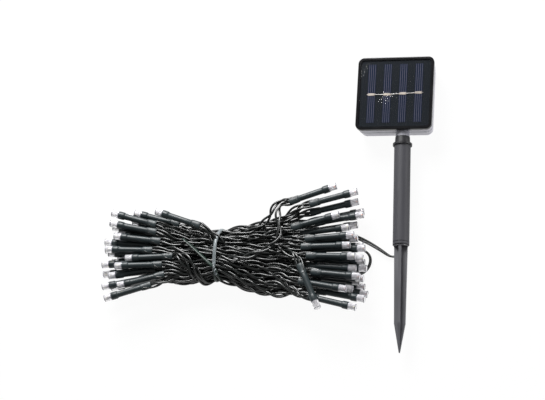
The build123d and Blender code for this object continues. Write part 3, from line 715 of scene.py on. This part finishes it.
def waist_slots(count):
    """Places (y, z) for that many passes, on a hexagonal grid that fills the tied middle."""
    middle_y, middle_z, wide, high = section(TIE_X)
    wide, high = wide - 2.4 * MM, high - 2.4 * MM
    pitch, found = 5 * MM, []
    while len(found) < count:
        pitch *= 0.995
        found = []
        for row in range(-8, 9):
            for column in range(-14, 15):
                y, z = (column + 0.5 * (row % 2)) * pitch, row * pitch * 0.866
                if (y / wide) ** 2 + (z / high) ** 2 <= 1:
                    found.append((middle_y + y, middle_z + z))
    found.sort(key=lambda slot: (round(slot[1], 6), slot[0]))
    return found[:count]


class Run:
    """One stretch of the light string between a right and a left lamp, through the tied middle."""

    def __init__(self, first, last, slot, strays):
        self.first = first
        flip = first.end == "left"
        self.right, self.left = (last, first) if flip else (first, last)
        self.sign = -1 if flip else 1
        self.strays = {
            side: [Vector(point) * MM for point in strays.get(side, [])] for side in ("right", "left")
        }
        start = self.strays["right"][-1] if self.strays["right"] else self.right.point(-9, 1.5 * self.sign)
        finish = self.strays["left"][-1] if self.strays["left"] else self.left.point(-9, 1.5 * self.sign)
        self.anchors = {"right": start, "left": finish}
        self.on = (STATIONS < start.x - 5 * MM) & (STATIONS > finish.x + 5 * MM)
        self.yz = np.zeros((len(STATIONS), 2))
        for index, x in enumerate(STATIONS):
            target = start if x > TIE_X else finish
            share = min(1.0, abs(x - TIE_X) / abs(target.x - TIE_X))
            share = share ** 1.35
            self.yz[index] = (
                slot[0] + (target.y - slot[0]) * share, slot[1] + (target.z - slot[1]) * share,
            )
            outward = (slot[0] - section(TIE_X)[0]) / section(TIE_X)[2]
            if outward < 0:
                self.yz[index, 0] -= LOW_BOWS[x > TIE_X] * abs(outward) ** 1.5 * math.sin(math.pi * share)

    def controls(self):
        """Control points from inside the first lamp to inside the last."""
        points = [self.right.point(9, 0.7 * self.sign), self.right.point(4, 1.45 * self.sign)]
        points += [self.right.point(-1, 1.5 * self.sign)]
        points += self.strays["right"] or [self.anchors["right"]]
        for x, (y, z), on in reversed(list(zip(STATIONS, self.yz, self.on))):
            if on:
                points.append(Vector((x, y, z)))
        points += list(reversed(self.strays["left"])) or [self.anchors["left"]]
        points += [self.left.point(-1, 1.5 * self.sign), self.left.point(4, 1.45 * self.sign)]
        points += [self.left.point(9, 0.7 * self.sign)]
        return points if self.first is self.right else list(reversed(points))


def neighbours(place, on, anchor_left, anchor_right):
    """The middle of each run's places at the stations before and after each station."""
    before, after = np.roll(place, 1, axis=1), np.roll(place, -1, axis=1)
    before_on, after_on = np.roll(on, 1, axis=1), np.roll(on, -1, axis=1)
    before_on[:, 0], after_on[:, -1] = False, False
    before = np.where(before_on[..., None], before, anchor_left[:, None])
    after = np.where(after_on[..., None], after, anchor_right[:, None])
    return (before + after) / 2


def shoves(flat, others, gap, allowed=True):
    """How far others that are closer than a gap push each run at every station, summed."""
    gaps = flat[:, :, None] - others[:, None]
    far = np.linalg.norm(gaps, axis=3) + 1e-9
    push = np.where(allowed, np.clip(gap - far, 0, None), 0)
    return (gaps / far[..., None] * push[..., None]).sum(2).transpose(1, 0, 2)


def settle(runs, lamps, lead_slots):
    """Let the runs push each other apart at every station, inside the hank's outline."""
    place = np.array([run.yz for run in runs])
    on = np.array([run.on for run in runs])
    stations = len(STATIONS)
    lamp_rows = np.full((stations, len(lamps), 2), 9.0)
    for column, lamp in enumerate(lamps):
        ends = (lamp.point(0), lamp.point(43))
        for row, x in enumerate(STATIONS):
            share = (x - ends[0].x) / (ends[1].x - ends[0].x)
            if -0.02 <= share <= 1:
                spot = ends[0].lerp(ends[1], share)
                lamp_rows[row, column] = spot.y, spot.z
    lead_rows = np.array([lead_slots] * stations)
    lead_rows[(STATIONS < -197 * MM) | (STATIONS > -90 * MM)] = 9.0
    middle_y, middle_z, wide, tall = section(STATIONS)
    grow = 1.0 + 0.18 * np.clip((abs(STATIONS - TIE_X) - 8 * MM) / (22 * MM), 0, 1)
    anchor_right = np.array([(run.anchors["right"].y, run.anchors["right"].z) for run in runs])
    anchor_left = np.array([(run.anchors["left"].y, run.anchors["left"].z) for run in runs])
    bow = neighbours(place, on, anchor_left, anchor_right) - place
    both = on.T[:, :, None] & on.T[:, None] & ~np.eye(len(runs), dtype=bool)
    for _ in range(SETTLE_TURNS):
        shift = np.zeros_like(place)
        flat = place.transpose(1, 0, 2)
        shift += shoves(flat, flat, RUN_GAP, both) * 0.3
        for rows, gap in ((lamp_rows, LAMP_GAP), (lead_rows, LEAD_GAP)):
            shift += shoves(flat, rows, gap) * 0.5
        shift += 0.3 * (neighbours(place, on, anchor_left, anchor_right) - place - bow)
        place = np.where(on[..., None], place + shift, place)
        off_y, off_z = place[..., 0] - middle_y, place[..., 1] - middle_z
        out = np.sqrt((off_y / (wide * grow - 2.2 * MM)) ** 2 + (off_z / (tall - 2.2 * MM)) ** 2)
        scale = np.where(out > 1, 1 / np.maximum(out, 1e-9), 1)
        place[..., 0], place[..., 1] = middle_y + off_y * scale, middle_z + off_z * scale
    for run, rows in zip(runs, place):
        run.yz = rows


def nearest(lamps, x, y):
    """The lamp whose lens is nearest to a place in millimetres; of lamps on each other, the upper."""
    return min(lamps, key=lambda lamp: math.hypot(lamp.lens.x / MM - x, lamp.lens.y / MM - y) - lamp.lens.z)


def first_lamp(rights):
    """The lamp that the lead runs to, in the lowest layer at the right."""
    return nearest([lamp for lamp in rights if lamp.tail.z < 5 * MM], -34, -107)


def stray_place(lamp, rng):
    """A lamp's place across the hank, with a little disorder."""
    return -lamp.tail.y + rng.uniform(-ORDER_SPREAD, ORDER_SPREAD) * MM


def plan_runs(lefts, rights, slots, rng):
    """Order the lamps along the string, give each run its place in the waist, and settle them."""
    first = first_lamp(rights)
    rights = sorted(rights, key=lambda lamp: (lamp is not first, stray_place(lamp, rng)))
    lefts = sorted(lefts, key=lambda lamp: stray_place(lamp, rng))
    order = [lamp for pair in zip(rights, lefts) for lamp in pair]
    pairs = list(zip(order, order[1:]))
    middles = [((a.tail.y + b.tail.y) / 2, (a.tail.z + b.tail.z) / 2) for a, b in pairs]
    by_y = sorted(range(len(pairs)), key=lambda index: middles[index][0])
    slots = sorted(slots, key=lambda slot: slot[0])
    chosen = {}
    for begin in range(0, len(pairs), RUN_GROUP):
        some = sorted(by_y[begin:begin + RUN_GROUP], key=lambda index: middles[index][1])
        chosen.update(zip(some, sorted(slots[begin:begin + RUN_GROUP], key=lambda slot: slot[1])))
    right_top, left_low = nearest(rights, -51, -87), nearest(lefts, -232, -149)
    stray_of = {(right_top, 0): ("right", "right_top_in"), (right_top, 1): ("right", "right_top_out"),
                (left_low, 0): ("left", "left_low_in"), (left_low, 1): ("left", "left_low_out")}
    band, claimed = nearest(lefts, -204.5, -111), []

    def claim(index, y, z):
        """Give a run that shows the free place in the waist that is nearest to a point."""
        free = [key for key in chosen if key not in claimed]
        other = min(free, key=lambda key: math.hypot(chosen[key][0] - y * MM, chosen[key][1] - z * MM))
        chosen[index], chosen[other] = chosen[other], chosen[index]
        claimed.append(index)

    for index, (a, b) in enumerate(pairs):
        if band in (a, b):
            claim(index, -137, 27)
        elif b is right_top:
            claim(index, -152, 27)
        elif left_low in (a, b):
            claim(index, -167, 10)
    runs = []
    for index, (a, b) in enumerate(pairs):
        strays = {}
        for key in ((a, 1), (b, 0)):
            if key in stray_of:
                end, name = stray_of[key]
                strays[end] = STRAYS[name]
        runs.append(Run(a, b, chosen[index], strays))
    return order, runs


def near_pairs(points, owners, reach):
    """Index pairs of points of different owners that lie within a reach of each other."""
    tree = KDTree(len(points))
    for index, point in enumerate(points):
        tree.insert(point, index)
    tree.balance()
    found = [
        (index, other)
        for index, point in enumerate(points)
        for _, other, _ in tree.find_range(point, reach)
        if other > index and owners[other] != owners[index]
    ]
    return np.array(found).T


def separate(strands, loose, obstacles):
    """Push the wires' points apart, so that no two of them run through each other."""
    points = np.array([tuple(point) for strand in strands for point in strand])
    start = points.copy()
    owners = np.repeat(np.arange(len(strands)), [len(strand) for strand in strands])
    loose = np.array([flag for strand in loose for flag in strand])
    ahead = np.roll(points, -1, axis=0) - np.roll(points, 1, axis=0)
    ahead /= np.linalg.norm(ahead, axis=1)[:, None] + 1e-9
    inner = (owners == np.roll(owners, 1)) & (owners == np.roll(owners, -1))
    blocks = np.array([tuple(centre) for centre, _ in obstacles])
    sizes = np.array([size for _, size in obstacles])
    gap = 2 * WIRE_RADIUS
    middle_y, middle_z, wide, high = section(TIE_X)
    for turn in range(SEPARATE_TURNS):
        if turn % SEARCH_EVERY == 0:
            first, second = near_pairs(points, owners, 1.5 * gap)
            everything = np.concatenate([points, blocks])
            kinds = np.concatenate([np.zeros(len(points)), np.ones(len(blocks))])
            touch = near_pairs(everything, kinds, sizes.max() * 1.25)
            wire, block = touch[0], touch[1] - len(points)
        between = points[first] - points[second]
        along = (between * ahead[first]).sum(1)
        flat = between - ahead[first] * along[:, None]
        far = np.linalg.norm(flat, axis=1) + 1e-9
        push = np.where(abs(along) < 1.3 * MM, np.clip(gap - far, 0, None), 0)
        move = flat / far[:, None] * (0.3 * push)[:, None]
        shift = np.zeros_like(points)
        np.add.at(shift, first, move)
        np.add.at(shift, second, -move)
        between = points[wire] - blocks[block]
        far = np.linalg.norm(between, axis=1) + 1e-9
        push = np.clip(sizes[block] - far, 0, None)
        np.add.at(shift, wire, between / far[:, None] * (0.5 * push)[:, None])
        bent = points - start + shift
        smooth = (np.roll(bent, 1, axis=0) + np.roll(bent, -1, axis=0)) / 2
        bent = np.where(inner[:, None], bent * 0.75 + smooth * 0.25, bent)
        points = np.where(loose[:, None], start + bent, start)
        points[:, 2] = np.maximum(points[:, 2], WIRE_RADIUS)
        tied = abs(points[:, 0] - TIE_X) < 4 * MM
        off_y, off_z = points[:, 1] - middle_y, points[:, 2] - middle_z
        out = np.sqrt((off_y / (wide - 1.3 * MM)) ** 2 + (off_z / (high - 1.3 * MM)) ** 2)
        scale = np.where(tied & (out > 1), 1 / np.maximum(out, 1e-9), 1)
        points[:, 1], points[:, 2] = middle_y + off_y * scale, middle_z + off_z * scale
    moved = points - start
    for _ in range(SMOOTH_TURNS):
        smooth = (np.roll(moved, 1, axis=0) + np.roll(moved, -1, axis=0) + moved) / 3
        moved = np.where((inner & loose)[:, None], smooth, moved)
    points = start + moved
    points[:, 2] = np.maximum(points[:, 2], WIRE_RADIUS)
    cuts = np.cumsum([len(strand) for strand in strands])[:-1]
    return [[Vector(point) for point in rows] for rows in np.split(points, cuts)]


def run_strands(line, run, phase):
    """The two wires of one run as lists of points, and which of those points are free to move."""
    lengths = lengths_along(line)
    turns = max(2, round(2 * lengths[-1] / TWIST_PITCH)) / 2
    sides, ups = level_frames(line)
    strands, loose = [], []
    for start_angle in (math.pi / 2, -math.pi / 2):
        strand = []
        for point, side, above, length in zip(line, sides, ups, lengths):
            share = length / lengths[-1]
            opening = min(1.0, min(length, lengths[-1] - length) / (22 * MM))
            angle = start_angle + 2 * math.pi * turns * share + 0.5 * opening * math.sin(7 * share + phase)
            wide = 0.92 + opening * (0.6 + 0.35 * math.sin(19 * share + 2 * phase))
            strand.append(point + (side * (wide * math.cos(angle)) + above * math.sin(angle)) * TWIST_RADIUS)
        strands.append(strand)
        loose.append([
            min((point - lamp.point(0)).dot(-lamp.along) for lamp in (run.right, run.left)) > 1.5 * MM
            for point in line
        ])
    return strands, loose


def string_pieces(lefts, rights, slots, rng, lead_line, lead_slots):
    """The light string: its control points, its centreline, and its two wires from lamp to lamp."""
    lamps = lefts + rights
    order, runs = plan_runs(lefts, rights, slots, rng)
    settle(runs, lamps, lead_slots)
    points = [point for run in runs for point in run.controls()]
    line = nurbs_points("light_string_line", points, 5)
    cuts = []
    for lamp in order:
        inside = lamp.point(8.5)
        begin = cuts[-1] + 12 if cuts else 0
        stretch = line[begin:begin + 140]
        cuts.append(begin + min(range(len(stretch)), key=lambda index: (stretch[index] - inside).length))
    strands, loose = [], []
    for run, begin, end in zip(runs, cuts, cuts[1:]):
        pair, free = run_strands(line[begin:end + 1], run, rng.uniform(0, 6.28))
        strands += pair
        loose += free
    obstacles = [(point, LEAD_THICKNESS / 2 + 0.4 * MM + WIRE_RADIUS) for point in lead_line[::2]]
    for lamp in lamps:
        for along in range(1, 38, 2):
            obstacles.append((lamp.point(along), (2.5 if along < 9 else 2.75) * MM + WIRE_RADIUS))
    strands = separate(strands, loose, obstacles)
    mesh = ([], [])
    for strand in strands:
        tube(strand, WIRE_RADIUS, WIRE_SIDES, *mesh)
    return points, line, mesh


# Route of the lead, as the CAD tube's, from the strain relief to the hank, in millimetres
LEAD_ROUTE = [
    (4, -33, 4.4), (4, -40, 4.4), (4.6, -51, 2.1), (6.6, -73, 2.1), (9.2, -98, 2.1), (12.6, -125, 2.1),
    (12.6, -140.6, 2.1), (1.2, -146, 2.1), (-10, -138, 2.1), (-24, -129.5, 1.7), (-40, -123, 1.7),
    (-56, -127, 2.0), (-76, -136, 4), (-92, -143, 4.6),
]
FOLD_LEFT, FOLD_RIGHT = -183, -103
# The loop of it that shows past the lamps at the right end, in millimetres
LEAD_LOOP = [
    (-68, -160.5, 2.2), (-48, -163, 2.2), (-33, -162.5, 2.2), (-22.5, -158.5, 2.2), (-17.6, -150.5, 2.2),
    (-19, -142, 2.2), (-27, -137, 2.2), (-42, -136.8, 2.2), (-66, -138.5, 2.2),
]


def lead_route(slots, lamp):
    """The lead: its free stretch, its passes through the waist, a loop that shows, and the first lamp."""
    slots = sorted(slots)
    half = len(slots) // 2
    order = [slots[index // 2 + (half if index % 2 else 0)] for index in range(len(slots))]
    middle = HANK_SECTIONS[2][1]
    points = [Vector(point) * MM for point in LEAD_ROUTE]
    for index, (y, z) in enumerate(order):
        leftward = index % 2 == 0
        steps = (-128, -146, -160, -172) if leftward else (-172, -160, -146, -128)
        points += [
            Vector((x * MM, middle + (y - middle) * (1 + abs(x + 153) * 0.008), z)) for x in steps
        ]
        if index == len(order) - 1:
            break
        if index == 5:
            points += [Vector(point) * MM for point in LEAD_LOOP]
            continue
        other_y, other_z = order[index + 1]
        fold_y, fold_z = middle + ((y + other_y) / 2 - middle) * 1.3, (z + other_z) / 2
        radius = max(10.5 * MM, abs(y - other_y) * 0.65)
        turn = 1 if other_y > y else -1
        for angle in (-80, -45, 0, 45, 80):
            bend = math.radians(angle)
            outward = -1 if leftward else 1
            centre_x = (FOLD_LEFT if leftward else FOLD_RIGHT) * MM
            points.append(Vector((
                centre_x + outward * radius * math.cos(bend), fold_y + turn * radius * math.sin(bend), fold_z,
            )))
    points += [lamp.point(-26, 1), lamp.point(-12, -1.5), lamp.point(-2, -1.5), lamp.point(6, -1.0)]
    return points


# How far the lead has rolled from flat, in radians, at some metres along it
LEAD_ROLL = ((0, 0.01, 0.05, 0.118, 0.155, 0.5, 0.7, 2), (0, 0, 1.2, 1.4, 0, 0, 1.4, 1.4))


def flat_twin(name, line, slot_name):
    """A flat cable of two joined wires that rolls slowly: flat by the hank, on edge by the stake."""
    lengths = lengths_along(line)
    sides, ups = level_frames(line)
    points, faces = [], []
    half_gap = (LEAD_WIDTH - LEAD_THICKNESS) / 2
    for half in (-1, 1):
        strand = []
        for point, side, above, length in zip(line, sides, ups, lengths):
            edge = np.interp(length, *LEAD_ROLL)
            strand.append(point + (side * math.cos(edge) + above * math.sin(edge)) * half * half_gap)
        tube(strand, LEAD_THICKNESS / 2, 10, points, faces)
    return add_mesh(name, points, faces, slot_name), lengths[-1]


# ---- Floor and light ----
FLOOR_HALF = 4
FLOOR_Z = -0.0004
LIGHT_TARGET = Vector((-0.12, -0.12, 0.01))
WORLD_STRENGTH = 0.24
RANDOM_SEED = 7


def add_stage():
    """A plain white light table."""
    data = bpy.data.meshes.new("floor")
    corners = [(x * FLOOR_HALF, y * FLOOR_HALF, FLOOR_Z) for x, y in ((-1, -1), (1, -1), (1, 1), (-1, 1))]
    data.from_pydata(corners, [], [(0, 1, 2, 3)])
    made, _ = shader(
        "floor_white", (0.04, 0.04, 0.04), 0.95, Emission_Color=(1, 1, 1, 1), Emission_Strength=0.95,
        Specular_IOR_Level=0.0,
    )
    data.materials.append(made)
    floor = bpy.data.objects.new("floor", data)
    bpy.context.scene.collection.objects.link(floor)


def add_area(name, toward, distance, size, power):
    """A softbox that faces the hank's middle from a direction; its first side lies level."""
    toward = Vector(toward).normalized()
    across = UP.cross(toward).normalized()
    data = bpy.data.lights.new(name, "AREA")
    data.shape, data.energy = "RECTANGLE", power
    data.size, data.size_y = size
    lamp = bpy.data.objects.new(name, data)
    lamp.matrix_world = placed(LIGHT_TARGET + toward * distance, across, toward.cross(across), toward)
    bpy.context.scene.collection.objects.link(lamp)


def add_light():
    world = bpy.data.worlds.new("studio")
    bpy.context.scene.world = world
    world.use_nodes = True
    world.node_tree.nodes["Background"].inputs["Color"].default_value = (1, 1, 1, 1)
    world.node_tree.nodes["Background"].inputs["Strength"].default_value = WORLD_STRENGTH
    add_area("key", (-0.23, 0.74, 0.61), 1.3, (0.75, 0.66), 35)
    add_area("fill", (0.95, 0.2, 0.28), 1.4, (0.6, 0.35), 9)
    add_area("side", (-0.8, 0.25, 0.55), 1.4, (0.5, 0.5), 1.5)
    bpy.context.scene.view_settings.view_transform = "Standard"
    bpy.context.scene.view_settings.look = "None"


def build():
    rng = random.Random(RANDOM_SEED)
    add_camera()
    add_stage()
    add_light()
    paint_cad_nodes()
    lefts, rights = find_lamps("left"), find_lamps("right")
    lamp_pieces = make_lamps("left", lefts) + make_lamps("right", rights)
    slots = waist_slots(len(lefts) + len(rights) - 1 + LEAD_PASSES)
    lead_slots, string_slots = slots[:LEAD_PASSES], slots[LEAD_PASSES:]
    route = lead_route(lead_slots, first_lamp(rights))
    lead_line = nurbs_points("lead_line", route, 6)
    make_panel()
    tie_pieces = make_tie()
    points, line, mesh = string_pieces(lefts, rights, string_slots, rng, lead_line, lead_slots)
    string = add_mesh("light_string", *mesh, "cord_green")
    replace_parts(string, "light_string_hank")
    boot = make_strain_relief(lead_line)
    lead, length = flat_twin("lead", lead_line, "cord_green")
    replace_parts(lead, "lead_cable")


build()
